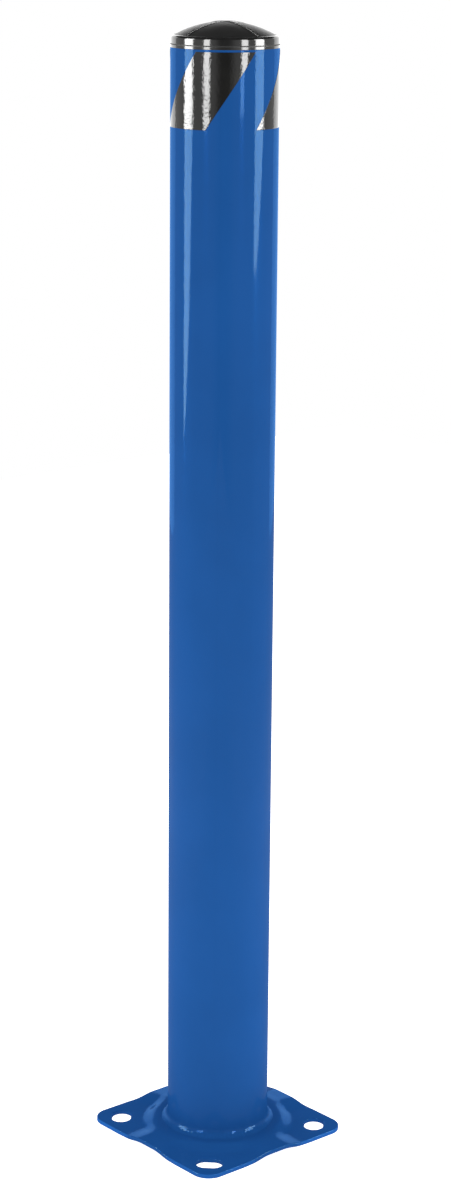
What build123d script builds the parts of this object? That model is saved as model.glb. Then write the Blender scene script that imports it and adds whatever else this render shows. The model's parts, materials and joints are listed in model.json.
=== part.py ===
from build123d import *
from math import cos, hypot, radians, sin, sqrt
import os

# A steel safety bollard: a painted tube welded through a pressed base plate, with a plug in its
# upper end and slanted stripes of black tape under the plug. Millimetres, +Z up. The origin is the
# centre of the base, on the floor, and the plate's sides are square to X and Y.

# Tube
tube_diameter = 114.3
tube_wall = 3.05
tube_top = 1219.2
tube_floor_gap = 1.5

# Base plate, a pressed sheet
plate_side = 209.55
plate_thickness = 4.8
plate_corner_radius = 21.0
plate_side_draw = 1.2
plate_side_draw_half_width = 50.0
plate_bore_clearance = 0.2
dome_rise = 6.4
dome_shoulder_width = 14.0
dome_flank_width = 16.0
ridge_edge_rise = 3.0
ridge_crest_half_width = 10.0
ridge_foot_half_width = 40.0
pressing_root = 1.0
ridge_overlap = 2.0

# Anchor slots, one in each foot, long way round the post
slot_length = 30.5
slot_width = 22.2
slot_inset = 26.2

# Welds
upper_weld_height = 9.0
upper_weld_foot = 6.5
upper_weld_hollow = 1.2
lower_weld_leg = 3.6

# Hazard tape: slanted stripes, spread evenly round the tube
stripe_top_gap = 2.2
stripe_height = 79.2
stripe_thickness = 0.25
stripe_count = 3
stripe_width = 64.8
stripe_lean = 53.3
stripe_direction = -66.4

# Cap
cap_lip_height = 3.3
cap_groove_height = 0.6
cap_groove_depth = 0.9
cap_rim_height = 12.9
cap_rim_round = 3.4
cap_rim_top_width = 0.4
cap_crease_depth = 0.5
cap_dome_height = 13.4
cap_wall = 2.5
cap_skirt_depth = 30.0
cap_skirt_wall = 2.4
cap_fin_count = 3
cap_fin_reach = 1.6
cap_fin_height = 1.6
cap_fin_spacing = 9.0
cap_fin_clearance = 0.35
cap_rib_width = 2.2
cap_rib_height = 0.8
cap_rib_rim_gap = 1.5

# Derived sizes
tube_radius = tube_diameter / 2
bore_radius = tube_radius - tube_wall
plate_half = plate_side / 2
dome_shoulder_radius = tube_radius + dome_shoulder_width
dome_foot_radius = dome_shoulder_radius + dome_flank_width
dome_top = plate_thickness + dome_rise
stripe_bottom = tube_top - stripe_top_gap - stripe_height

os.makedirs("parts", exist_ok=True)


def save(piece, name):
    """Label a finished piece and write it to its own file."""
    piece.label = name
    export_step(piece, f"parts/{name}.step")


# Tube: open at both ends, standing just clear of the floor.
with BuildPart() as bollard_tube:
    with BuildSketch(Plane.XY.offset(tube_floor_gap)):
        Circle(tube_radius)
        Circle(bore_radius, mode=Mode.SUBTRACT)
    extrude(amount=tube_top - tube_floor_gap)
save(bollard_tube.part, "bollard_tube")


# The pressed form: a low dome and four ridges that run down from it to the middle of each side.
# The same form is raised on the sheet's upper face and hollowed out of its lower face.
def ridge_section(rise):
    """Outline of a ridge across its length, from the root of one flank to the root of the other."""
    return [
        (-ridge_foot_half_width, -pressing_root),
        (-ridge_foot_half_width, 0),
        (-ridge_crest_half_width, rise),
        (ridge_crest_half_width, rise),
        (ridge_foot_half_width, 0),
        (ridge_foot_half_width, -pressing_root),
    ]


with BuildPart() as pressing:
    with BuildSketch(Plane.XZ):
        with BuildLine():
            Polyline(
                (0, -pressing_root),
                (dome_foot_radius, -pressing_root),
                (dome_foot_radius, 0),
                (dome_shoulder_radius, dome_rise),
                (0, dome_rise),
                close=True,
            )
        make_face()
    revolve(axis=Axis.Z)
    for turn in range(4):
        outward = Vector(1, 0, 0).rotate(Axis.Z, 90 * turn)
        across = Vector(0, 1, 0).rotate(Axis.Z, 90 * turn)
        ridge_start = outward * (dome_shoulder_radius - ridge_overlap)
        ridge_end = outward * plate_half
        with BuildSketch(Plane(ridge_start, x_dir=across, z_dir=outward)):
            with BuildLine():
                Polyline(*ridge_section(dome_rise), close=True)
            make_face()
        with BuildSketch(Plane(ridge_end, x_dir=across, z_dir=outward)):
            with BuildLine():
                Polyline(*ridge_section(ridge_edge_rise), close=True)
            make_face()
        loft(ruled=True)


# Base plate: a square sheet with its sides drawn in by the pressing, a bore for the tube and one
# anchor slot in each foot.
with BuildPart() as base_plate:
    with BuildSketch():
        Rectangle(plate_side, plate_side)
    extrude(amount=plate_thickness)
    add(Pos(0, 0, plate_thickness) * pressing.part)
    add(pressing.part, mode=Mode.SUBTRACT)
    with BuildSketch() as plate_outline:
        with BuildLine():
            for turn in range(4):
                corner = Vector(plate_half, -plate_half).rotate(Axis.Z, 90 * turn)
                draw_start = Vector(plate_half, -plate_side_draw_half_width).rotate(Axis.Z, 90 * turn)
                draw_middle = Vector(plate_half - plate_side_draw, 0).rotate(Axis.Z, 90 * turn)
                draw_end = Vector(plate_half, plate_side_draw_half_width).rotate(Axis.Z, 90 * turn)
                next_corner = Vector(plate_half, plate_half).rotate(Axis.Z, 90 * turn)
                Line(corner, draw_start)
                ThreePointArc(draw_start, draw_middle, draw_end)
                Line(draw_end, next_corner)
        make_face()
        corners = plate_outline.vertices().sort_by(lambda v: hypot(v.X, v.Y))[-4:]
        fillet(corners, radius=plate_corner_radius)
    extrude(amount=dome_top + pressing_root, mode=Mode.INTERSECT)
    with Locations((0, 0, 0)):
        Hole(tube_radius + plate_bore_clearance)
    with BuildSketch():
        with PolarLocations(hypot(plate_half - slot_inset, plate_half - slot_inset), 4, start_angle=45):
            SlotOverall(slot_length, slot_width, rotation=90)
    extrude(amount=dome_top, mode=Mode.SUBTRACT)
save(base_plate.part, "base_plate")


# Upper weld: a slightly hollow fillet between the tube and the top of the dome.
with BuildPart() as upper_weld:
    with BuildSketch(Plane.XZ):
        with BuildLine():
            root = (tube_radius, dome_top)
            toe = (tube_radius + upper_weld_foot, dome_top)
            head = (tube_radius, dome_top + upper_weld_height)
            Polyline(head, root, toe)
            RadiusArc(toe, head, (upper_weld_height**2 + upper_weld_foot**2) / (8 * upper_weld_hollow))
        make_face()
    revolve(axis=Axis.Z)
save(upper_weld.part, "upper_weld")


# Lower weld: a plain fillet between the tube and the underside of the dome.
with BuildPart() as lower_weld:
    with BuildSketch(Plane.XZ):
        with BuildLine():
            Polyline(
                (tube_radius, dome_rise),
                (tube_radius + lower_weld_leg, dome_rise),
                (tube_radius, dome_rise - lower_weld_leg),
                close=True,
            )
        make_face()
    revolve(axis=Axis.Z)
save(lower_weld.part, "lower_weld")


# Tape stripes: each is the part of a thin ring between two leaning planes. A plane holds a radius
# of the tube at the stripe's middle height, and leans the same way as the stripe's edge.
def stripe_edge_plane(direction):
    """The leaning plane of a stripe's edge that crosses the stripe's middle height at direction."""
    radial = Vector(1, 0, 0).rotate(Axis.Z, direction)
    tangent = Vector(0, 1, 0).rotate(Axis.Z, direction)
    half_lean = tube_radius * sin(stripe_lean / 2 / tube_radius)
    up_the_edge = Vector(0, 0, stripe_height / 2) + tangent * half_lean
    middle_height = stripe_bottom + stripe_height / 2
    return Plane((0, 0, middle_height), x_dir=radial, z_dir=up_the_edge.cross(radial))


stripe_half_angle = stripe_width / 2 / radians(1) / tube_radius
for number in range(stripe_count):
    stripe_middle = stripe_direction + number * 360 / stripe_count
    with BuildPart() as tape_stripe:
        with BuildSketch(Plane.XY.offset(stripe_bottom)):
            Circle(tube_radius + stripe_thickness)
            Circle(tube_radius, mode=Mode.SUBTRACT)
        extrude(amount=stripe_height)
        split(bisect_by=stripe_edge_plane(stripe_middle - stripe_half_angle), keep=Keep.TOP)
        split(bisect_by=stripe_edge_plane(stripe_middle + stripe_half_angle), keep=Keep.BOTTOM)
    save(tape_stripe.part, f"tape_stripe_{number + 1}")


# Cap: a moulded plug. Its lip sits on the tube's end and its finned skirt stands in the bore.
dome_base_radius = tube_radius - cap_rim_round - cap_rim_top_width
dome_base_height = tube_top + cap_rim_height - cap_crease_depth
dome_arch_height = cap_dome_height + cap_crease_depth
dome_sphere_radius = (dome_base_radius**2 + dome_arch_height**2) / (2 * dome_arch_height)
dome_sphere_centre = tube_top + cap_rim_height + cap_dome_height - dome_sphere_radius
fin_radius = bore_radius - cap_fin_clearance
skirt_radius = fin_radius - cap_fin_reach
skirt_bore_radius = skirt_radius - cap_skirt_wall


def dome_point(radius, lift=0.0):
    """The point of the dome's outer face at radius, lift above it, in the plane of a section."""
    return (radius, dome_sphere_centre + sqrt((dome_sphere_radius + lift) ** 2 - radius**2))


# The ribs: a cross of two bars under a dome that is slightly larger than the cap's.
rib_reach = dome_base_radius - cap_rib_rim_gap
with BuildPart() as rib_cross:
    with BuildSketch(Plane.XZ):
        with BuildLine():
            rib_outer = dome_point(rib_reach, cap_rib_height)
            rib_crown = dome_point(0, cap_rib_height)
            rib_foot = (rib_reach, tube_top + cap_rim_height - cap_wall)
            Polyline(rib_crown, (0, rib_foot[1]), rib_foot, rib_outer)
            ThreePointArc(rib_outer, dome_point(rib_reach / 2, cap_rib_height), rib_crown)
        make_face()
    revolve(axis=Axis.Z)
    with BuildSketch(Plane.XY.offset(tube_top)):
        Rectangle(2 * rib_reach, cap_rib_width)
        Rectangle(cap_rib_width, 2 * rib_reach)
    extrude(amount=2 * (cap_rim_height + cap_dome_height), mode=Mode.INTERSECT)

with BuildPart() as top_cap:
    with BuildSketch(Plane.XZ):
        with BuildLine():
            groove_bottom = tube_top + cap_lip_height
            groove_top = groove_bottom + cap_groove_height
            groove_radius = tube_radius - cap_groove_depth
            rim_top = tube_top + cap_rim_height
            round_bottom = (tube_radius, rim_top - cap_rim_round)
            round_top = (tube_radius - cap_rim_round, rim_top)
            round_middle = (
                tube_radius - cap_rim_round * (1 - cos(radians(45))),
                rim_top - cap_rim_round * (1 - sin(radians(45))),
            )
            Polyline(
                dome_point(0),
                (0, tube_top),
                (tube_radius, tube_top),
                (tube_radius, groove_bottom),
                (groove_radius, groove_bottom),
                (groove_radius, groove_top),
                (tube_radius, groove_top),
                round_bottom,
            )
            ThreePointArc(round_bottom, round_middle, round_top)
            Polyline(round_top, (dome_base_radius, rim_top), (dome_base_radius, dome_base_height))
            ThreePointArc((dome_base_radius, dome_base_height), dome_point(dome_base_radius / 2), dome_point(0))
        make_face()
    revolve(axis=Axis.Z)
    add(rib_cross.part)
    with BuildSketch(Plane.XY.offset(tube_top)):
        Circle(skirt_radius)
    extrude(amount=-cap_skirt_depth)
    for fin in range(cap_fin_count):
        fin_top = tube_top - cap_skirt_depth + cap_fin_height + fin * cap_fin_spacing
        with BuildSketch(Plane.XY.offset(fin_top)):
            Circle(fin_radius)
        extrude(amount=-cap_fin_height)
    with BuildSketch(Plane.XZ):
        with BuildLine():
            hollow_bottom = (skirt_bore_radius, tube_top - cap_skirt_depth)
            hollow_shoulder = dome_point(skirt_bore_radius, -cap_wall)
            hollow_crown = dome_point(0, -cap_wall)
            Polyline(hollow_crown, (0, hollow_bottom[1]), hollow_bottom, hollow_shoulder)
            ThreePointArc(hollow_shoulder, dome_point(skirt_bore_radius / 2, -cap_wall), hollow_crown)
        make_face()
    revolve(axis=Axis.Z, mode=Mode.SUBTRACT)
save(top_cap.part, "top_cap")
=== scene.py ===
import json
import math

import bpy
from bpy.props import FloatProperty, FloatVectorProperty, IntProperty, PointerProperty
from bpy.types import Operator, Panel, PropertyGroup
from mathutils import Matrix, Vector

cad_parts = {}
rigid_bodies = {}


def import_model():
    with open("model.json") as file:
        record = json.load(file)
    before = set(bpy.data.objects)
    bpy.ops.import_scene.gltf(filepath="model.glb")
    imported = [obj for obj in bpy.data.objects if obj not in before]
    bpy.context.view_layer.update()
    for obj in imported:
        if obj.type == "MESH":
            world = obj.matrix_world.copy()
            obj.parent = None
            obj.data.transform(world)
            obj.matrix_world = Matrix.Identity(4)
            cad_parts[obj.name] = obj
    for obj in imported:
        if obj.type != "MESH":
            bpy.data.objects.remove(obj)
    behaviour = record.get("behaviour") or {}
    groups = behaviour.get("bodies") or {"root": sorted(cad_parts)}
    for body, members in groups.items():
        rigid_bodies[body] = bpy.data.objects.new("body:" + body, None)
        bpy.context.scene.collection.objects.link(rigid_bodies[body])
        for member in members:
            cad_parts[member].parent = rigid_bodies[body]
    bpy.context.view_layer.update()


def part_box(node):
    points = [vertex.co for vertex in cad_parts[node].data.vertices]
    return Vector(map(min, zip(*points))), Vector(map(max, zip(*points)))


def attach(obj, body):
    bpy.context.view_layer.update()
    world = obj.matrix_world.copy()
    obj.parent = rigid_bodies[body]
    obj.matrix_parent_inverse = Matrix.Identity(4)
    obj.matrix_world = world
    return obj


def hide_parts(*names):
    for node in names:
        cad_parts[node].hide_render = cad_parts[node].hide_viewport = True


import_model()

bl_info = {
    "name": "Steel Safety Bollard",
    "version": (1, 0, 0),
    "blender": (4, 5, 0),
    "location": "View3D > Sidebar > Bollard",
    "description": "Builds a painted steel safety post with its base plate, tape stripes and plug",
    "category": "Add Mesh",
}

MM = 0.001

TUBE_LOW, TUBE_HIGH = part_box("bollard_tube")
UPPER_LOW, UPPER_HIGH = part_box("upper_weld")
LOWER_LOW, LOWER_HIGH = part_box("lower_weld")
STRIPE_LOW, STRIPE_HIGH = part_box("tape_stripe_1")
PLATE_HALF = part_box("base_plate")[1].x
TUBE_RADIUS = TUBE_HIGH.x
TUBE_TOP = TUBE_HIGH.z

# Mesh work: points nearer than NEAR are in one place, and doubles merge within MERGE_DISTANCE.
NEAR = 1e-6
MERGE_DISTANCE = 2e-6
ROUND_SIDES = 256
SLOT_SIDES = 64
SIDE_BOW_SIDES = 1024
TUBE_ROWS = 24
CORNER_STEPS = 20
STRIPE_COLUMNS = 60
STRIPE_ROWS = 40
DOME_STEPS = 26
HOLLOW_STEPS = 16
RIM_STEPS = 8
FINS = 3
POINTS_PER_RIPPLE = 7

# Weld bead: each row is (size, waves in a turn, phase) of one wave round the post.
RIPPLE_SWAY = ((0.8, 7, 0.0), (0.5, 23, 0.0))
RIPPLE_BOW = 1.9
BEAD_LUMPS = ((0.25, 5, 0.7), (0.15, 13, 2.1), (0.1, 31, 0.0))
BEAD_FLANK = 0.8
LOWER_WELD_HOLLOW = 0.3 * MM

# Roundings and small gaps
PLUG_EDGE_ROUND = 0.22 * MM
RIB_EDGE_ROUND = 0.45 * MM
RIB_SUNK = 1.0 * MM
TAPE_EDGE_ROUND = 0.08 * MM
FLOOR_DROP = 0.02 * MM

# Finishes
PAINT_METAL = 0.012
STEEL_METAL = 0.88
PAINT_COAT = 0.085
PAINT_COAT_ROUGH = 0.04
PAINT_RELIEF = 0.016 * MM
TAPE_RELIEF = 0.13 * MM
PLUG_RELIEF = 0.01 * MM
RUST = (0.16, 0.075, 0.035)
# Pale beige for the plug's lip: part dust, part painted sheen that stands in for the lip's
# reflections.
LIP_DUST_AND_SHEEN = (0.035, 0.034, 0.031)
DOME_SCUFF = (0.05, 0.05, 0.05)

# Light cards: azimuths are degrees from the camera's side, and heights are in mm on the post,
# where the card's corner is mirrored. A glow is a light colour with its strength in it.
BLACK_CARD_SETBACK = 0.3
STRIP_TOP = 3200
CARD_TOP = 2400
BLACK_CARD_FOOT = 1090
BLUE_STRIP, BLUE_PANEL, BLUE_BACK = (20, 34, 37), (14, 29, 46), (0.8, 3.0, 6.6)
WHITE_STRIP, WHITE_PANEL, WHITE_BACK = (22, 22, 22), (17.0, 17.0, 17.0), (1.6, 1.6, 1.6)


def upright(left, right, foot, top):
    """Outline of a light card with square corners."""
    return [(left, foot), (left, top), (right, top), (right, foot)]


LEFT_STRIP_OUTLINE = [(-93, 815), (-93, STRIP_TOP), (-71, STRIP_TOP), (-71, 1138),
                      (-78, 933), (-87, 835)]
RIGHT_STRIP_OUTLINE = [(67, 990), (67, STRIP_TOP), (89.5, STRIP_TOP), (89.5, 1130),
                       (85, 1078), (79.5, 1025), (74, 990)]
PAINTED_CARDS = (
    ("strip_left", BLUE_STRIP, LEFT_STRIP_OUTLINE),
    ("strip_right", BLUE_STRIP, RIGHT_STRIP_OUTLINE),
    ("panel_left", BLUE_PANEL, upright(-43, -34, 1141, CARD_TOP)),
    ("panel_right", BLUE_PANEL, upright(33, 41, 1152, CARD_TOP)),
    ("back_left", BLUE_BACK, upright(-127, -178, 500, 1800)),
    ("back_right", BLUE_BACK, upright(127, 178, 500, 1800)),
)
BLACK_CARDS = (
    ("strip_left_black", WHITE_STRIP, upright(-93, -71, BLACK_CARD_FOOT, CARD_TOP)),
    ("strip_right_black", WHITE_STRIP, upright(67, 89.5, BLACK_CARD_FOOT, CARD_TOP)),
    ("panel_left_black", WHITE_PANEL, upright(-45, -32, BLACK_CARD_FOOT, CARD_TOP)),
    ("panel_right_black", WHITE_PANEL, upright(35, 49, BLACK_CARD_FOOT, CARD_TOP)),
    ("back_left_black", WHITE_BACK, upright(-126, -178, 900, 2200)),
    ("back_right_black", WHITE_BACK, upright(126, 178, 900, 2200)),
)


def length(name, description, default):
    """A size in metres that a user can change."""
    return FloatProperty(name=name, description=description, default=default,
                         min=0, unit="LENGTH", precision=5)


def turn(name, description, degrees):
    """An angle that a user can change."""
    return FloatProperty(name=name, description=description,
                         default=math.radians(degrees), subtype="ANGLE")


def tint(name, description, colour):
    """A linear colour that a user can change."""
    return FloatVectorProperty(name=name, description=description, default=colour,
                               subtype="COLOR", size=3, min=0, max=1)


class BollardSizes(PropertyGroup):
    """Sizes of the post's pieces."""

    tube_wall: length("Tube wall", "Thickness of the tube's wall", 3.05 * MM)
    tube_end_round: length("Tube end rounding", "Rounding of the tube's cut ends", 0.4 * MM)
    plate_thickness: length("Plate thickness", "Thickness of the pressed sheet", 4.8 * MM)
    plate_corner: length("Plate corner", "Radius of the plate's corners in plan", 21 * MM)
    plate_edge_round: length("Plate edge rounding", "Rounding of the plate's sheared edges",
                             0.6 * MM)
    side_draw: length("Side draw", "How far the middle of each side is drawn in by the pressing",
                      1.2 * MM)
    side_draw_reach: length("Side draw reach", "Half the length of a side that is drawn in",
                            50 * MM)
    plate_cell: length("Plate cell", "Size of the plate's mesh cells", 2.5 * MM)
    dome_rise: length("Dome rise", "Height of the pressed dome over the feet", 6.4 * MM)
    dome_shoulder: length("Dome shoulder", "Radius where the dome's top starts to fall", 71.15 * MM)
    dome_foot: length("Dome foot", "Radius where the dome meets the feet", 87.15 * MM)
    ridge_rise: length("Ridge rise", "Height of a ridge at the plate's edge", 3.0 * MM)
    ridge_crest: length("Ridge crest", "Half width of a ridge's flat crest", 10 * MM)
    ridge_foot: length("Ridge foot", "Half width of a ridge at its foot", 40 * MM)
    bore_gap: length("Bore gap", "Gap between the plate's bore and the tube", 0.2 * MM)
    slot_length: length("Slot length", "Length of an anchor slot", 30.5 * MM)
    slot_width: length("Slot width", "Width of an anchor slot", 22.2 * MM)
    slot_place: length("Slot place", "Distance of a slot's centre from the axis on X and on Y",
                       78.575 * MM)
    weld_hollow: length("Weld hollow", "Hollow of the upper weld's face", 2.2 * MM)
    ripple_height: length("Ripple height", "Height of the ripples on a weld bead", 0.12 * MM)
    ripple_pitch: length("Ripple pitch", "Distance from one weld ripple to the next", 4.2 * MM)
    lump_height: length("Lump height", "Height of the slow lumps on a weld bead", 0.45 * MM)
    tape_thickness: length("Tape thickness", "Thickness of a tape stripe", 0.25 * MM)
    stripe_count: IntProperty(name="Stripes", description="Number of tape stripes round the tube",
                              default=3, min=1, max=12)
    stripe_width: length("Stripe width", "Width of a stripe along the tube's girth", 64.8 * MM)
    stripe_lean: length("Stripe lean", "How far round the tube a stripe's top lies from its foot",
                        53.3 * MM)
    stripe_direction: turn("Stripe direction", "Direction of the first stripe's middle", -66.4)
    lip_height: length("Lip height", "Height of the plug's seat lip", 3.3 * MM)
    groove_height: length("Groove height", "Height of the groove over the lip", 0.6 * MM)
    groove_depth: length("Groove depth", "Depth of the groove over the lip", 0.9 * MM)
    rim_height: length("Rim height", "Height of the plug's rim over the tube", 12.9 * MM)
    rim_round: length("Rim rounding", "Rounding of the rim's outer edge", 3.4 * MM)
    rim_land: length("Rim land", "Width of the flat on the rim's top", 0.4 * MM)
    crease_depth: length("Crease depth", "Depth of the crease between rim and dome", 0.5 * MM)
    dome_height: length("Plug dome height", "Height of the plug's dome over its rim", 13.4 * MM)
    plug_wall: length("Plug wall", "Wall of the moulding", 2.5 * MM)
    skirt_radius: length("Skirt radius", "Outer radius of the plug's skirt", 52.15 * MM)
    skirt_bore: length("Skirt bore", "Inner radius of the plug's skirt", 49.75 * MM)
    skirt_depth: length("Skirt depth", "Depth of the plug's skirt in the tube", 30 * MM)
    fin_radius: length("Fin radius", "Outer radius of a grip fin", 53.75 * MM)
    fin_height: length("Fin height", "Height of a grip fin", 1.6 * MM)
    fin_pitch: length("Fin pitch", "Distance from one grip fin to the next", 9 * MM)
    rib_width: length("Rib width", "Width of a rib on the dome", 2.2 * MM)
    rib_height: length("Rib height", "Height of a rib over the dome", 0.8 * MM)
    rib_reach: length("Rib reach", "Radius that the ribs reach", 51.85 * MM)


class BollardColours(PropertyGroup):
    """Colours of the post's finishes."""

    paint: tint("Paint", "Blue powder coat", (0.0108, 0.0755, 0.268))
    steel: tint("Steel", "Bare steel inside the tube", (0.32, 0.31, 0.30))
    tape: tint("Tape", "Black tape", (0.011, 0.011, 0.0105))
    plug: tint("Plug", "Black moulded plug", (0.0135, 0.0135, 0.0135))
    floor: tint("Floor", "Pale studio floor", (0.9, 0.9, 0.9))


class BollardStage(PropertyGroup):
    """Camera and light."""

    camera_azimuth: turn("Camera azimuth", "Direction of the camera, from +X towards +Y", -40.53)
    camera_distance: length("Camera distance", "Distance of the camera from the post's axis",
                            2.9034)
    camera_height: length("Camera height", "Height of the camera over the floor", 1.3839)
    camera_pan: turn("Camera pan", "Turn of the camera off the post's axis, to the right", 0.0949)
    camera_pitch: turn("Camera pitch", "Tilt of the camera below the horizon", 14.6589)
    camera_roll: turn("Camera roll", "Roll of the camera about its view", 0.4394)
    camera_lens: FloatProperty(name="Camera lens", description="Focal length",
                               default=82.17, min=1, unit="CAMERA")
    floor_side: length("Floor side", "Side of the floor", 6)
    card_distance: length("Card distance", "Distance of the light cards from the post", 8)


# Mesh work


def nothing_selected():
    if bpy.context.mode != "OBJECT":
        bpy.ops.object.mode_set(mode="OBJECT")
    bpy.ops.object.select_all(action="DESELECT")


def only(*pieces):
    """Select these pieces and no others; the last is active."""
    nothing_selected()
    for piece in pieces:
        piece.select_set(True)
    bpy.context.view_layer.objects.active = pieces[-1]


def added(name):
    """Name the primitive that was just added and put its place in its mesh."""
    piece = bpy.context.object
    piece.name = piece.data.name = name
    only(piece)
    bpy.ops.object.transform_apply(location=True, rotation=True, scale=True)
    return piece


def edit_all(piece):
    only(piece)
    bpy.ops.object.mode_set(mode="EDIT")
    bpy.ops.mesh.select_all(action="SELECT")


def pick(piece, kind, test):
    """Open a piece for editing with the points, edges or faces selected that pass test."""
    only(piece)
    mesh = piece.data
    for group in (mesh.vertices, mesh.edges, mesh.polygons):
        group.foreach_set("select", [False] * len(group))
    points = mesh.vertices
    if kind == "VERT":
        for vertex in points:
            vertex.select = test(vertex.co)
    elif kind == "EDGE":
        for edge in mesh.edges:
            a, b = (points[i].co for i in edge.vertices)
            edge.select = test((a + b) / 2, b - a)
    else:
        for face in mesh.polygons:
            face.select = test(face.center, face.normal)
    bpy.context.tool_settings.mesh_select_mode = (kind == "VERT", kind == "EDGE", kind == "FACE")
    bpy.ops.object.mode_set(mode="EDIT")


def tidy_mesh(piece):
    """Merge doubles and turn every face outwards."""
    edit_all(piece)
    bpy.ops.mesh.remove_doubles(threshold=MERGE_DISTANCE)
    bpy.ops.mesh.normals_make_consistent(inside=False)
    nothing_selected()


def modified(piece, kind, **settings):
    """Add one modifier and apply it."""
    only(piece)
    modifier = piece.modifiers.new(kind.title(), kind)
    for name, value in settings.items():
        setattr(modifier, name, value)
    bpy.ops.object.modifier_apply(modifier=modifier.name)


def rounded_edges(piece, width, segments=2, sharper_than=50):
    """Round every edge that is sharper than an angle in degrees."""
    modified(piece, "BEVEL", width=width, segments=segments, limit_method="ANGLE",
             angle_limit=math.radians(sharper_than), use_clamp_overlap=True, harden_normals=False)


def weighted(piece, name, weight):
    """A vertex group whose weight at a point is weight(point)."""
    group = piece.vertex_groups.new(name=name)
    for vertex in piece.data.vertices:
        group.add([vertex.index], max(0.0, min(1.0, weight(vertex.co))), "REPLACE")
    return group


def raised(piece, height, weight, direction="NORMAL"):
    """Move the surface by height times weight(point)."""
    group = weighted(piece, "raise", weight)
    modified(piece, "DISPLACE", strength=height, mid_level=0.0, direction=direction,
             vertex_group=group.name)
    piece.vertex_groups.clear()


def combined(piece, other, operation):
    """Cut other from piece, or join it to piece, and take other away."""
    modified(piece, "BOOLEAN", operation=operation, object=other, solver="EXACT")
    bpy.data.objects.remove(other, do_unlink=True)


def smoothed(piece, angle=35):
    """Shade smooth over every edge that is blunter than an angle in degrees."""
    only(piece)
    bpy.ops.object.shade_smooth_by_angle(angle=math.radians(angle))
    modified(piece, "WEIGHTED_NORMAL", weight=80, keep_sharp=True)
    nothing_selected()


def turned(name, profile, sides):
    """A piece turned about Z along profile, a list of (radius, height).

    A profile that ends where it starts is a ring. A radius of 0 at an end closes it on the axis.
    """
    first = 1 if profile[0][0] == 0 else 0
    radius, height = profile[first]
    nothing_selected()
    bpy.ops.mesh.primitive_circle_add(vertices=sides, radius=radius, fill_type="NOTHING",
                                      location=(0, 0, height))
    piece = added(name)
    edit_all(piece)
    for r, z in profile[first + 1:]:
        bpy.ops.mesh.extrude_region_move(TRANSFORM_OT_translate={"value": (0, 0, z - height)})
        if r == 0:
            bpy.ops.mesh.merge(type="CENTER")
            break
        scale = r / radius
        bpy.ops.transform.resize(value=(scale, scale, 1), center_override=(0, 0, z))
        radius, height = r, z
    if first:
        bpy.ops.object.mode_set(mode="OBJECT")
        start_r, start_z = profile[1]

        def on_start(point):
            radius = math.hypot(point.x, point.y)
            return abs(point.z - start_z) < NEAR and abs(radius - start_r) < 10 * NEAR

        pick(piece, "VERT", on_start)
        rise = profile[0][1] - start_z
        bpy.ops.mesh.extrude_region_move(TRANSFORM_OT_translate={"value": (0, 0, rise)})
        bpy.ops.mesh.merge(type="CENTER")
    tidy_mesh(piece)
    return piece


def pressed_step(low, high, value, blend=0.3):
    """A straight flank from 0 at low to 1 at high, its two creases rounded over blend of it."""
    t = max(0.0, min(1.0, (value - low) / (high - low)))
    slope = 1 / (1 - blend)
    if t < blend:
        return slope * t * t / (2 * blend)
    if t > 1 - blend:
        return 1 - slope * (1 - t) ** 2 / (2 * blend)
    return slope * (t - blend / 2)


def finished(piece, material, body, slot, *nodes):
    """Give a piece its finish and its place in the frame."""
    if not piece.data.polygons:
        raise RuntimeError(f"{piece.name} has no faces")
    piece.data.materials.clear()
    piece.data.materials.append(material)
    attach(piece, body)
    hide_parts(*nodes)


def waves(angle, rows):
    """The sum of sine waves round the post, one for each row."""
    return sum(size * math.sin(count * angle + phase) for size, count, phase in rows)


# Shader work


class Wire:
    """An output socket that sums can be written with."""

    def __init__(self, board, made, out):
        self.board, self.made, self.socket = board, made, made.outputs[out]

    def out(self, name):
        return Wire(self.board, self.made, name)

    def _sum(self, operation, *values):
        return self.board.node("ShaderNodeMath", {"operation": operation}, dict(enumerate(values)))

    def __add__(self, other):
        return self._sum("ADD", self, other)

    def __sub__(self, other):
        return self._sum("SUBTRACT", self, other)

    def __rsub__(self, other):
        return self._sum("SUBTRACT", other, self)

    def __mul__(self, other):
        return self._sum("MULTIPLY", self, other)

    def __truediv__(self, other):
        return self._sum("DIVIDE", self, other)

    def __pow__(self, other):
        return self._sum("POWER", self, other)

    def __abs__(self):
        return self._sum("ABSOLUTE", self)

    def higher(self, other):
        return self._sum("MAXIMUM", self, other)

    def lower(self, other):
        return self._sum("MINIMUM", self, other)

    __radd__, __rmul__ = __add__, __mul__


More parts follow.
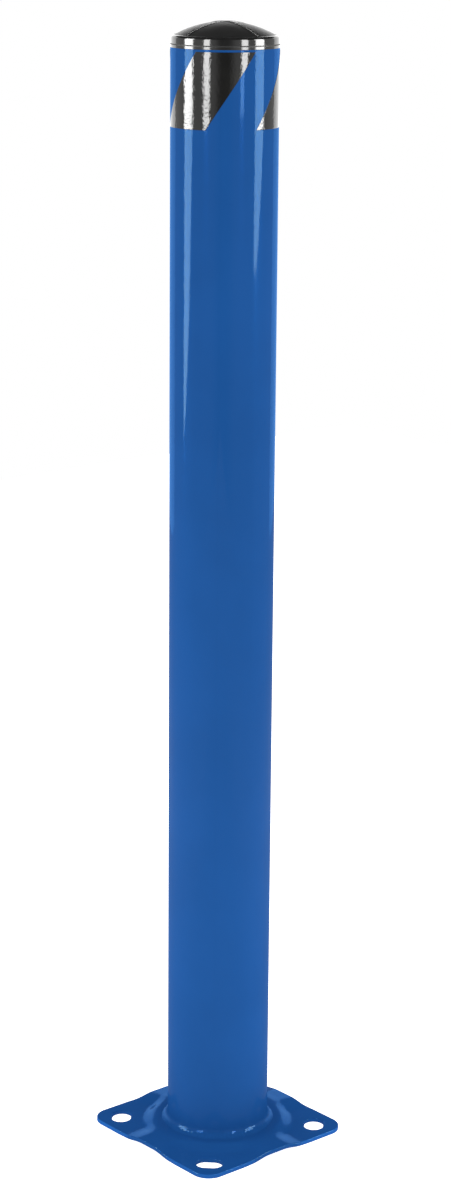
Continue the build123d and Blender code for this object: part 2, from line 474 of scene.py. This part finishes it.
class Board:
    """The node tree of one material or of the world."""

    def __init__(self, owner):
        owner.use_nodes = True
        self.tree = owner.node_tree
        self.tree.nodes.clear()

    def node(self, kind, settings=None, sockets=None, out=0):
        """One node: its settings first, then the value or the wire of each socket."""
        made = self.tree.nodes.new(kind)
        for name, value in (settings or {}).items():
            setattr(made, name, value)
        for name, value in (sockets or {}).items():
            if isinstance(value, Wire):
                self.tree.links.new(value.socket, made.inputs[name])
            else:
                made.inputs[name].default_value = value
        return Wire(self, made, out)

    def place(self):
        return self.node("ShaderNodeTexCoord", out="Object")

    def axes(self, vector):
        split = self.node("ShaderNodeSeparateXYZ", sockets={0: vector})
        return split, split.out("Y"), split.out("Z")

    def ramp(self, value, low, high, start=0.0, end=1.0):
        """start below low and end above high, and smooth between."""
        return self.node("ShaderNodeMapRange", {"interpolation_type": "SMOOTHSTEP"},
                         {"Value": value, "From Min": low, "From Max": high,
                          "To Min": start, "To Max": end})

    def noise(self, place, scale, detail, stretch=None):
        """Even noise with scale lumps in a metre."""
        if stretch:
            place = self.node("ShaderNodeMapping", sockets={"Vector": place, "Scale": stretch})
        return self.node("ShaderNodeTexNoise", {"noise_dimensions": "3D"},
                         {"Vector": place, "Scale": scale, "Detail": detail, "Roughness": 0.5})

    def blend(self, factor, a, b):
        """Colour a where factor is 0 and b where it is 1."""
        a, b = (value if isinstance(value, Wire) else (*value, 1) for value in (a, b))
        return self.node("ShaderNodeMix", {"data_type": "RGBA"}, {0: factor, 6: a, 7: b}, out=2)

    def bump(self, height, depth):
        return self.node("ShaderNodeBump",
                         sockets={"Height": height, "Distance": depth, "Strength": 1.0})

    def surface(self, sockets):
        shader = self.node("ShaderNodeBsdfPrincipled", sockets=sockets)
        self.end("ShaderNodeOutputMaterial", shader)

    def end(self, kind, shader):
        output = self.tree.nodes.new(kind)
        self.tree.links.new(shader.socket, output.inputs["Surface"])


def shaded(colour, amount):
    return tuple(min(1.0, channel * amount) for channel in colour)


def new_material(name):
    material = bpy.data.materials.new(name)
    return material, Board(material)


def powder_coat(name, colours, bare=None, worn=None):
    """Gloss blue powder coat with orange peel.

    bare(board, x, y, z) is a mask of bare steel, and worn(board, x, y, z) one of worn edges.
    """
    material, board = new_material(name)
    place = board.place()
    x, y, z = board.axes(place)
    peel = board.noise(place, 620, detail=1.5)
    wave = board.noise(place, 55, detail=1.0)
    cloud = board.noise(place, 9, detail=3.0)
    speck = board.noise(place, 1900, detail=1.0)
    paint = board.blend(board.ramp(cloud, 0.3, 0.7),
                        shaded(colours.paint, 0.96), shaded(colours.paint, 1.045))
    paint = board.blend(board.ramp(speck, 0.62, 0.75) * 0.12, paint, shaded(colours.paint, 1.5))
    rough = 0.10 + peel * 0.05 + cloud * 0.03
    metal = PAINT_METAL
    height = peel + wave * 2.2
    if worn:
        fray = board.noise(place, 240, detail=4.0)
        rub = board.ramp(worn(board, x, y, z) + (fray - 0.5) * 0.9, 0.55, 0.95)
        paint = board.blend(rub * 0.35, paint, shaded(colours.paint, 2.1))
        rough = rough + rub * 0.12
    if bare:
        steel_mask = bare(board, x, y, z)
        streak = board.noise(place, 30, detail=4.0, stretch=(1, 1, 0.12))
        steel = board.blend(board.ramp(streak, 0.35, 0.7),
                            shaded(colours.steel, 0.7), shaded(colours.steel, 1.15))
        rust = board.noise(place, 70, detail=5.0)
        steel = board.blend(board.ramp(rust, 0.55, 0.75) * 0.5, steel, RUST)
        paint = board.blend(steel_mask, paint, steel)
        rough = rough * (1 - steel_mask) + (0.42 + streak * 0.2) * steel_mask
        metal = PAINT_METAL + steel_mask * STEEL_METAL
    board.surface({
        "Base Color": paint,
        "Roughness": rough,
        "Metallic": metal,
        "Specular IOR Level": 0.0,
        "Coat Weight": PAINT_COAT,
        "Coat Roughness": PAINT_COAT_ROUGH,
        "Normal": board.bump(height, PAINT_RELIEF),
    })
    return material


def tube_paint(colours, sizes):
    """Powder coat outside, bare steel in the bore, and a rubbed edge at the tube's top."""
    bore = TUBE_RADIUS - sizes.tube_wall

    def bare(board, x, y, z):
        radius = (x * x + y * y) ** 0.5
        return board.ramp(radius, bore + 0.3 * MM, bore + 0.9 * MM, 1.0, 0.0)

    def worn(board, x, y, z):
        return board.ramp(z, TUBE_TOP - 0.9 * MM, TUBE_TOP - 0.1 * MM)

    return powder_coat("tube_powder_coat", colours, bare, worn)


def plate_paint(colours, sizes):
    """Powder coat that is thin and rubbed along the plate's outline."""
    corner = sizes.plate_corner
    straight = PLATE_HALF - corner

    def worn(board, x, y, z):
        across = (abs(x) - straight).higher(0)
        along = (abs(y) - straight).higher(0)
        outline = (across * across + along * along) ** 0.5
        return board.ramp(outline, corner - 1.6 * MM, corner - 0.2 * MM)

    return powder_coat("plate_powder_coat", colours, None, worn)


def weld_paint(colours):
    return powder_coat("weld_powder_coat", colours)


def tape_film(colours):
    """Gloss black tape film."""
    material, board = new_material("black_tape_film")
    place = board.place()
    peel = board.noise(place, 380, detail=2.0)
    wave = board.noise(place, 70, detail=2.0)
    smear = board.noise(place, 24, detail=4.0)
    colour = board.blend(board.ramp(smear, 0.35, 0.7),
                         shaded(colours.tape, 0.9), shaded(colours.tape, 1.25))
    board.surface({
        "Base Color": colour,
        "Roughness": 0.02 + smear * 0.03 + peel * 0.02,
        "Normal": board.bump(peel + wave * 0.5, TAPE_RELIEF),
    })
    return material


def plug_plastic(colours, sizes):
    """Black moulding: a grained satin dome with glossier ribs, inside a gloss rim."""
    material, board = new_material("plug_moulding")
    place = board.place()
    x, y, z = board.axes(place)
    radius = (x * x + y * y) ** 0.5
    dome_base = TUBE_RADIUS - sizes.rim_round - sizes.rim_land
    dome = board.ramp(radius, dome_base - 0.5 * MM, dome_base + 0.1 * MM, 1.0, 0.0)
    lip_top = TUBE_TOP + sizes.lip_height
    lip = board.ramp(z, lip_top - 0.2 * MM, lip_top + 0.2 * MM, 1.0, 0.0)
    grain = board.noise(place, 2400, detail=2.0)
    flow = board.noise(place, 40, detail=3.0)
    scuff = board.noise(place, 300, detail=5.0, stretch=(1, 0.2, 1))
    colour = board.blend(board.ramp(flow, 0.3, 0.7),
                         shaded(colours.plug, 0.85), shaded(colours.plug, 1.2))
    # The lip is blended towards pale beige: part dust, part painted sheen that stands in for its
    # reflections.
    colour = board.blend(lip * 0.25, colour, LIP_DUST_AND_SHEEN)
    colour = board.blend(board.ramp(scuff, 0.66, 0.8) * dome * 0.25, colour, DOME_SCUFF)
    rib_edge = sizes.rib_width / 2
    cross = board.ramp(abs(x).lower(abs(y)), rib_edge - 0.1 * MM, rib_edge + 0.2 * MM, 1.0, 0.0)
    satin = (0.36 + flow * 0.08) * (1 - cross * 0.6)
    gloss = 0.07 + flow * 0.06
    groove_middle = lip_top + sizes.groove_height / 2
    dust = board.ramp(abs(z - groove_middle), 0.45 * MM, 0.7 * MM, 1.0, 0.0)
    rough = satin * dome + gloss * (1 - dome) + lip * 0.02 + dust * 0.5
    board.surface({
        "Base Color": colour,
        "Roughness": rough,
        "Normal": board.bump(grain * dome + flow * 0.6, PLUG_RELIEF),
    })
    return material


# Pieces


class BOLLARD_OT_post_tube(Operator):
    """Round steel tube, open at both ends, painted outside and bare inside"""

    bl_idname = "bollard.post_tube"
    bl_label = "Post tube"

    def execute(self, context):
        sizes, colours = context.scene.bollard_sizes, context.scene.bollard_colours
        nothing_selected()
        bpy.ops.mesh.primitive_cylinder_add(
            vertices=ROUND_SIDES, radius=TUBE_RADIUS, depth=TUBE_TOP - TUBE_LOW.z,
            end_fill_type="NOTHING", location=(0, 0, (TUBE_TOP + TUBE_LOW.z) / 2))
        tube = added("post_tube")
        pick(tube, "EDGE", lambda middle, along: abs(along.z) > 0.5)
        bpy.ops.mesh.subdivide(number_cuts=TUBE_ROWS - 1)
        nothing_selected()
        modified(tube, "SOLIDIFY", thickness=sizes.tube_wall, offset=-1)
        rounded_edges(tube, sizes.tube_end_round, segments=3)
        smoothed(tube)
        finished(tube, tube_paint(colours, sizes), "post", "blue_paint", "bollard_tube")
        return {"FINISHED"}


class BOLLARD_OT_pressed_plate(Operator):
    """Square base plate pressed from one sheet: a dome, four ridges and four slotted feet"""

    bl_idname = "bollard.pressed_plate"
    bl_label = "Pressed plate"

    def cutters(self, sizes):
        """One mesh that cuts the bore, the slots and the drawn-in sides."""
        tall = 4 * sizes.plate_thickness
        nothing_selected()
        bpy.ops.mesh.primitive_cylinder_add(
            vertices=ROUND_SIDES, radius=TUBE_RADIUS + sizes.bore_gap, depth=tall)
        cutters = [added("bore_cutter")]
        straight = (sizes.slot_length - sizes.slot_width) / 2
        draw, chord = sizes.side_draw, sizes.side_draw_reach
        bow = (draw ** 2 + chord ** 2) / (2 * draw)
        bow_middle = PLATE_HALF - draw + bow
        for quarter in range(4):
            nothing_selected()
            bpy.ops.mesh.primitive_cylinder_add(
                vertices=SLOT_SIDES, radius=sizes.slot_width / 2, depth=tall,
                rotation=(0, 0, math.pi / SLOT_SIDES))
            slot = added("slot_cutter")
            for side in (-1, 1):
                pick(slot, "VERT", lambda p: p.x * side > 0)
                bpy.ops.transform.translate(value=(side * straight, 0, 0))
                nothing_selected()
            angle = math.pi / 4 + quarter * math.pi / 2
            slot.rotation_euler.z = angle + math.pi / 2
            reach = sizes.slot_place * math.sqrt(2)
            slot.location = (reach * math.cos(angle), reach * math.sin(angle), 0)
            cutters.append(slot)
            away = quarter * math.pi / 2
            nothing_selected()
            bpy.ops.mesh.primitive_cylinder_add(
                vertices=SIDE_BOW_SIDES, radius=bow, depth=tall,
                rotation=(0, 0, math.pi / SIDE_BOW_SIDES),
                location=(bow_middle * math.cos(away), bow_middle * math.sin(away), 0))
            cutters.append(added("side_cutter"))
        only(*cutters)
        bpy.ops.object.transform_apply(location=True, rotation=True, scale=True)
        bpy.ops.object.join()
        return bpy.context.object

    def execute(self, context):
        sizes, colours = context.scene.bollard_sizes, context.scene.bollard_colours
        thick = sizes.plate_thickness
        nothing_selected()
        bpy.ops.mesh.primitive_cube_add(size=1, scale=(2 * PLATE_HALF, 2 * PLATE_HALF, thick),
                                        location=(0, 0, thick / 2))
        plate = added("pressed_plate")
        pick(plate, "EDGE", lambda middle, along: abs(along.z) > thick / 2)
        bpy.ops.mesh.bevel(offset=sizes.plate_corner, offset_type="OFFSET",
                           segments=CORNER_STEPS, affect="EDGES")
        nothing_selected()
        combined(plate, self.cutters(sizes), "DIFFERENCE")
        rounded_edges(plate, sizes.plate_edge_round, segments=3)
        edit_all(plate)
        cells = int(PLATE_HALF / sizes.plate_cell)
        for step in range(-cells, cells + 1):
            for direction in ((1, 0, 0), (0, 1, 0)):
                bpy.ops.mesh.select_all(action="SELECT")
                cut = tuple(step * sizes.plate_cell * c for c in direction)
                bpy.ops.mesh.bisect(plane_co=cut, plane_no=direction)
        nothing_selected()
        tidy_mesh(plate)

        def pressing(point):
            """Height of the dome and the ridges at a point, as a part of the dome's height."""
            radius = math.hypot(point.x, point.y)
            dome = 1 - pressed_step(sizes.dome_shoulder, sizes.dome_foot, radius)
            across, out = sorted((abs(point.x), abs(point.y)))
            rise_out = (PLATE_HALF - out) / (PLATE_HALF - sizes.dome_shoulder)
            climb = (sizes.dome_rise - sizes.ridge_rise) * max(0.0, min(1.0, rise_out))
            crest = sizes.ridge_rise + climb
            flank = pressed_step(sizes.ridge_crest, sizes.ridge_foot, across, blend=0.4)
            ridge = crest / sizes.dome_rise * (1 - flank)
            return dome + (1 - dome) * ridge

        raised(plate, sizes.dome_rise, pressing, direction="Z")
        smoothed(plate)
        finished(plate, plate_paint(colours, sizes), "post", "blue_paint", "base_plate")
        return {"FINISHED"}


class BOLLARD_OT_weld_beads(Operator):
    """Rippled fillet welds between the tube and the plate, above and below the sheet"""

    bl_idname = "bollard.weld_beads"
    bl_label = "Weld beads"

    def bead(self, name, sizes, foot, head, hollow, steps):
        """A ring whose face runs from foot, on the plate, to head, on the tube."""
        (foot_r, foot_z), (head_r, head_z) = foot, head
        face = []
        for step in range(steps + 1):
            t = step / steps
            sag = hollow * 4 * t * (1 - t) / math.sqrt(2)
            r = foot_r + (head_r - foot_r) * t - sag
            z = foot_z + (head_z - foot_z) * t - sag * (1 if head_z > foot_z else -1)
            face.append((r, z))
        root = (head_r, foot_z)
        girth = 2 * math.pi * (foot_r + head_r) / 2
        ripples = round(girth / sizes.ripple_pitch)
        ring = turned(name, face + [root, face[0]], ripples * POINTS_PER_RIPPLE)
        relief = sizes.ripple_height + sizes.lump_height
        hidden = 0.05 * MM

        def ripple(point):
            """Height of the ripples and lumps at a point; the ring's hidden sides stay flat."""
            angle = math.atan2(point.y, point.x)
            radius = math.hypot(point.x, point.y)
            t = (foot_r - radius) / (foot_r - head_r)
            if radius < head_r + hidden or abs(point.z - foot_z) < hidden:
                return 0.0
            arch = 4 * t * (1 - t)
            phase = ripples * angle + RIPPLE_BOW * arch + waves(angle, RIPPLE_SWAY)
            wave = 0.5 + 0.5 * math.cos(phase)
            lump = 0.5 + waves(angle, BEAD_LUMPS)
            height = wave * sizes.ripple_height + lump * sizes.lump_height
            return arch ** BEAD_FLANK * height / relief

        raised(ring, relief, ripple)
        smoothed(ring, 60)
        return ring

    def execute(self, context):
        sizes, colours = context.scene.bollard_sizes, context.scene.bollard_colours
        paint = weld_paint(colours)
        upper = self.bead("weld_bead_upper", sizes, (UPPER_HIGH.x, UPPER_LOW.z),
                          (TUBE_RADIUS, UPPER_HIGH.z), sizes.weld_hollow, steps=14)
        finished(upper, paint, "post", "blue_paint", "upper_weld")
        lower = self.bead("weld_bead_lower", sizes, (LOWER_HIGH.x, LOWER_HIGH.z),
                          (TUBE_RADIUS, LOWER_LOW.z), LOWER_WELD_HOLLOW, steps=6)
        finished(lower, paint, "post", "blue_paint", "lower_weld")
        return {"FINISHED"}


class BOLLARD_OT_black_stripes(Operator):
    """Slanted stripes of black tape, one modelled and the others copied round the tube"""

    bl_idname = "bollard.black_stripes"
    bl_label = "Black stripes"

    def execute(self, context):
        sizes, colours = context.scene.bollard_sizes, context.scene.bollard_colours
        low, high = STRIPE_LOW.z, STRIPE_HIGH.z
        tall, centre = high - low, (0, 0, (low + high) / 2)
        sector = sizes.stripe_width / TUBE_RADIUS
        nothing_selected()
        bpy.ops.mesh.primitive_circle_add(vertices=3, radius=TUBE_RADIUS, location=centre)
        stripe = bpy.context.object
        stripe.name = stripe.data.name = "black_stripe_1"
        edit_all(stripe)
        bpy.ops.mesh.delete(type="ONLY_FACE")
        bpy.ops.object.mode_set(mode="OBJECT")
        pick(stripe, "VERT", lambda p: p.y < 0)
        bpy.ops.mesh.delete(type="VERT")
        edit_all(stripe)
        bpy.ops.transform.translate(value=(0, 0, -tall / 2))
        bpy.ops.transform.rotate(value=math.pi / 2 + sector / 2, orient_axis="Z",
                                 center_override=centre)
        bpy.ops.mesh.spin(steps=STRIPE_COLUMNS, angle=sector, center=(0, 0, low), axis=(0, 0, -1))
        bpy.ops.mesh.select_all(action="SELECT")
        bpy.ops.mesh.remove_doubles(threshold=MERGE_DISTANCE)
        for _ in range(STRIPE_ROWS):
            bpy.ops.mesh.extrude_region_move(
                TRANSFORM_OT_translate={"value": (0, 0, tall / STRIPE_ROWS)})
        nothing_selected()
        modified(stripe, "SIMPLE_DEFORM", deform_method="TWIST", deform_axis="Z",
                 angle=sizes.stripe_lean / TUBE_RADIUS)
        only(stripe)
        bpy.ops.object.transform_apply(location=True, rotation=True, scale=True)
        tidy_mesh(stripe)
        modified(stripe, "SOLIDIFY", thickness=sizes.tape_thickness, offset=1)
        rounded_edges(stripe, TAPE_EDGE_ROUND)
        film = tape_film(colours)
        stripes = [stripe]
        for number in range(2, sizes.stripe_count + 1):
            only(stripe)
            bpy.ops.object.duplicate(linked=False)
            copy = bpy.context.object
            copy.name = copy.data.name = f"black_stripe_{number}"
            stripes.append(copy)
        for number, piece in enumerate(stripes):
            turned_by = number * 2 * math.pi / sizes.stripe_count
            piece.rotation_euler.z = sizes.stripe_direction + turned_by
            only(piece)
            bpy.ops.object.transform_apply(location=True, rotation=True, scale=True)
            smoothed(piece)
            finished(piece, film, "post", "tape_black", f"tape_stripe_{number + 1}")
        return {"FINISHED"}


class BOLLARD_OT_domed_plug(Operator):
    """Moulded plug with a seat lip, a groove, a gloss rim, a ribbed dome and a finned skirt"""

    bl_idname = "bollard.domed_plug"
    bl_label = "Domed plug"

    def profile(self, sizes, sphere_r, sphere_z):
        """Outer and inner line of the moulding, from the crown down, round and up again."""

        def dome(r, lift=0.0):
            return r, sphere_z + math.sqrt((sphere_r + lift) ** 2 - r * r)

        base = TUBE_RADIUS - sizes.rim_round - sizes.rim_land
        rim_top = TUBE_TOP + sizes.rim_height
        line = [dome(base * step / DOME_STEPS) for step in range(DOME_STEPS + 1)]
        line.append((base, rim_top))
        for step in range(RIM_STEPS + 1):
            angle = math.radians(90 - 90 * step / RIM_STEPS)
            line.append((TUBE_RADIUS - sizes.rim_round * (1 - math.cos(angle)),
                         rim_top - sizes.rim_round * (1 - math.sin(angle))))
        groove_low = TUBE_TOP + sizes.lip_height
        groove_high = groove_low + sizes.groove_height
        groove_r = TUBE_RADIUS - sizes.groove_depth
        line += [(TUBE_RADIUS, groove_high), (groove_r, groove_high), (groove_r, groove_low),
                 (TUBE_RADIUS, groove_low), (TUBE_RADIUS, TUBE_TOP), (sizes.skirt_radius, TUBE_TOP)]
        bottom = TUBE_TOP - sizes.skirt_depth
        for fin in reversed(range(FINS)):
            fin_low = bottom + fin * sizes.fin_pitch
            fin_high = fin_low + sizes.fin_height
            line += [(sizes.skirt_radius, fin_high), (sizes.fin_radius, fin_high),
                     (sizes.fin_radius, fin_low)]
            if fin:
                line.append((sizes.skirt_radius, fin_low))
        line.append((sizes.skirt_bore, bottom))
        line += [dome(sizes.skirt_bore * step / HOLLOW_STEPS, -sizes.plug_wall)
                 for step in range(HOLLOW_STEPS, -1, -1)]
        return line

    def ribs(self, sizes, sphere_r, sphere_z):
        """A cross of four ribs that follows the dome."""
        top = sphere_r + sizes.rib_height
        half = sizes.rib_width / 2
        nothing_selected()
        bpy.ops.mesh.primitive_plane_add(size=sizes.rib_width, location=(0, 0, sphere_z + top))
        ribs = added("ribs")
        up = Vector((0, 0, 1))
        sweep = math.asin(sizes.rib_reach / top) - math.asin(half / top)
        for x, y in ((1, 0), (0, 1), (-1, 0), (0, -1)):
            direction = Vector((x, y, 0))
            side = (direction * half).xy
            pick(ribs, "EDGE", lambda middle, along: (middle.xy - side).length < NEAR)
            bpy.ops.mesh.spin(steps=DOME_STEPS, angle=sweep, center=(0, 0, sphere_z),
                              axis=direction.cross(up))
            nothing_selected()
        tidy_mesh(ribs)
        if ribs.data.polygons[0].normal.z < 0:
            edit_all(ribs)
            bpy.ops.mesh.flip_normals()
            nothing_selected()
        modified(ribs, "SOLIDIFY", thickness=sizes.rib_height + RIB_SUNK, offset=-1,
                 use_even_offset=True)
        rounded_edges(ribs, RIB_EDGE_ROUND, segments=3)
        return ribs

    def execute(self, context):
        sizes, colours = context.scene.bollard_sizes, context.scene.bollard_colours
        base = TUBE_RADIUS - sizes.rim_round - sizes.rim_land
        arch = sizes.dome_height + sizes.crease_depth
        sphere_r = (base ** 2 + arch ** 2) / (2 * arch)
        sphere_z = TUBE_TOP + sizes.rim_height + sizes.dome_height - sphere_r
        plug = turned("domed_plug", self.profile(sizes, sphere_r, sphere_z), ROUND_SIDES)
        rounded_edges(plug, PLUG_EDGE_ROUND, sharper_than=40)
        combined(plug, self.ribs(sizes, sphere_r, sphere_z), "UNION")
        smoothed(plug)
        finished(plug, plug_plastic(colours, sizes), "cap", "cap_plastic", "top_cap")
        return {"FINISHED"}


# Stage


class BOLLARD_OT_stage(Operator):
    """Pale floor, soft white surroundings, strip lights and the camera"""

    bl_idname = "bollard.stage"
    bl_label = "Stage"

    def receivers(self, name, *pieces):
        """A group of pieces for the cards that light only those."""
        group = bpy.data.collections.new(name)
        for piece in pieces:
            group.objects.link(bpy.data.objects[piece])
        return group

    def card(self, stage, name, receivers, glow_colour, outline):
        """A clear light card seen only in the gloss of its receivers, with others seen through it.

        outline is a list of corners, each an azimuth and the height that it is mirrored at.
        """
        reach = stage.card_distance + (BLACK_CARD_SETBACK if name.endswith("black") else 0)
        points = []
        for azimuth, height in outline:
            direction = stage.camera_azimuth + math.radians(azimuth)
            slope = (height * MM - stage.camera_height) / stage.camera_distance
            points.append((reach * math.cos(direction), reach * math.sin(direction),
                           height * MM + slope * reach))
        mesh = bpy.data.meshes.new(name)
        mesh.from_pydata(points, [], [list(range(len(points)))])
        panel = bpy.data.objects.new(name, mesh)
        bpy.context.collection.objects.link(panel)
        material, board = new_material(name)
        glow = board.node("ShaderNodeEmission", sockets={"Color": (*glow_colour, 1), "Strength": 1})
        clear = board.node("ShaderNodeBsdfTransparent")
        both = board.node("ShaderNodeAddShader", sockets={0: glow, 1: clear})
        board.end("ShaderNodeOutputMaterial", both)
        mesh.materials.append(material)
        for ray in ("camera", "diffuse", "shadow", "transmission", "volume_scatter"):
            setattr(panel, f"visible_{ray}", False)
        panel.light_linking.receiver_collection = receivers

    def surroundings(self, stage):
        """White all round, but in gloss dim towards the camera and high up."""
        world = bpy.data.worlds.new("studio")
        bpy.context.scene.world = world
        board = Board(world)
        direction = board.node("ShaderNodeTexCoord", out="Generated")
        x, y, z = board.axes(direction)
        ahead = math.cos(stage.camera_azimuth), math.sin(stage.camera_azimuth)
        toward = (x * ahead[0] + y * ahead[1]) / (x * x + y * y + 1e-6) ** 0.5
        around = board.node("ShaderNodeMath", {"operation": "ARCCOSINE"},
                            {0: toward.lower(1).higher(-1)})
        dim, bright = 0.06, 0.86
        side = board.ramp(around, math.radians(6), math.radians(28), dim, bright)
        mirrored = side * board.ramp(z, 0.30, 0.47, 1.0, dim)
        rays = board.node("ShaderNodeLightPath", out="Is Camera Ray")
        glossy = rays.out("Is Glossy Ray")
        soft = board.ramp(around, 0, math.pi / 2, 1.0, 1.1)
        level = rays + (1 - rays) * (glossy * mirrored + (1 - glossy) * soft)
        background = board.node("ShaderNodeBackground",
                                sockets={"Color": (1, 1, 1, 1), "Strength": level})
        board.end("ShaderNodeOutputWorld", background)
        world.cycles.sampling_method = "NONE"

    def floor(self, stage, colours):
        """A pale floor just under the plate, with more glow beside the post for its soft fill."""
        nothing_selected()
        bpy.ops.mesh.primitive_plane_add(size=stage.floor_side, location=(0, 0, -FLOOR_DROP))
        floor = added("studio_floor")
        material, board = new_material("pale_floor")
        place = board.place()
        x, y, _ = board.axes(place)
        right = -math.sin(stage.camera_azimuth), math.cos(stage.camera_azimuth)
        aside = abs(x * right[0] + y * right[1])
        away = (x * x + y * y) ** 0.5
        flank = board.ramp(aside, 0.35, 1.0) * board.ramp(away, 1.0, 2.4, 1.0, 0.0)
        foot = board.ramp(aside, 0.02, 0.3) * board.ramp(away, 0.35, 0.9, 1.0, 0.0)
        seen = board.node("ShaderNodeLightPath", out="Is Camera Ray")
        soft = seen.out("Is Diffuse Ray") * (0.4 + flank * 1.3 + foot * 1.3)
        glow = seen + soft + seen.out("Is Glossy Ray") * (0.1 + flank * 0.7)
        grain = board.noise(place, 90, detail=3.0)
        colour = board.blend(board.ramp(grain, 0.3, 0.7),
                             shaded(colours.floor, 0.985), colours.floor)
        board.surface({"Base Color": colour, "Roughness": 0.7, "Specular IOR Level": 0.2,
                       "Emission Color": (1, 1, 1, 1), "Emission Strength": glow})
        floor.data.materials.append(material)

    def camera(self, stage):
        """A camera that stands level with the post's axis, then turns, tilts and rolls."""
        data = bpy.data.cameras.new("camera")
        camera = bpy.data.objects.new("camera", data)
        bpy.context.collection.objects.link(camera)
        data.sensor_width = 36
        data.lens = stage.camera_lens
        data.clip_end = 200
        pan, pitch, roll = stage.camera_pan, stage.camera_pitch, stage.camera_roll
        ahead = Vector((math.sin(pan) * math.cos(pitch), math.cos(pan) * math.cos(pitch),
                        -math.sin(pitch)))
        right = Vector((math.cos(pan), -math.sin(pan), 0))
        up = right.cross(ahead)
        right, up = (right * math.cos(roll) + up * math.sin(roll),
                     up * math.cos(roll) - right * math.sin(roll))
        axes = Matrix((right, up, -ahead)).transposed().to_4x4()
        axes.translation = Vector((0, -stage.camera_distance, stage.camera_height))
        camera.matrix_world = Matrix.Rotation(stage.camera_azimuth + math.pi / 2, 4, "Z") @ axes
        bpy.context.scene.camera = camera

    def execute(self, context):
        stage, colours = context.scene.bollard_stage, context.scene.bollard_colours
        nothing_selected()
        self.camera(stage)
        self.surroundings(stage)
        self.floor(stage, colours)
        painted = self.receivers("painted", "post_tube", "pressed_plate", "weld_bead_upper",
                                 "weld_bead_lower")
        stripes = range(1, context.scene.bollard_sizes.stripe_count + 1)
        black = self.receivers("black", "domed_plug", *(f"black_stripe_{n}" for n in stripes))
        for receivers, cards in ((painted, PAINTED_CARDS), (black, BLACK_CARDS)):
            for name, glow, outline in cards:
                self.card(stage, name, receivers, glow, outline)
        bpy.context.scene.view_settings.view_transform = "Standard"
        return {"FINISHED"}


class BOLLARD_PT_panel(Panel):
    """Lists the pieces and their sizes"""

    bl_idname = "BOLLARD_PT_panel"
    bl_label = "Steel safety bollard"
    bl_space_type = "VIEW_3D"
    bl_region_type = "UI"
    bl_category = "Bollard"

    def draw(self, context):
        for operator in PIECES:
            self.layout.operator(operator.bl_idname)
        for key in GROUPS:
            group = getattr(context.scene, key)
            column = self.layout.column()
            for name in group.__annotations__:
                column.prop(group, name)


PIECES = (
    BOLLARD_OT_post_tube,
    BOLLARD_OT_pressed_plate,
    BOLLARD_OT_weld_beads,
    BOLLARD_OT_black_stripes,
    BOLLARD_OT_domed_plug,
    BOLLARD_OT_stage,
)
GROUPS = {
    "bollard_sizes": BollardSizes,
    "bollard_colours": BollardColours,
    "bollard_stage": BollardStage,
}


def register():
    for made in (*GROUPS.values(), *PIECES, BOLLARD_PT_panel):
        bpy.utils.register_class(made)
    for name, group in GROUPS.items():
        setattr(bpy.types.Scene, name, PointerProperty(type=group))


def unregister():
    for name in GROUPS:
        delattr(bpy.types.Scene, name)
    for made in (BOLLARD_PT_panel, *PIECES[::-1], *GROUPS.values()):
        bpy.utils.unregister_class(made)


def main():
    register()
    for operator in PIECES:
        family, name = operator.bl_idname.split(".")
        getattr(getattr(bpy.ops, family), name)()


if __name__ == "__main__":
    main()
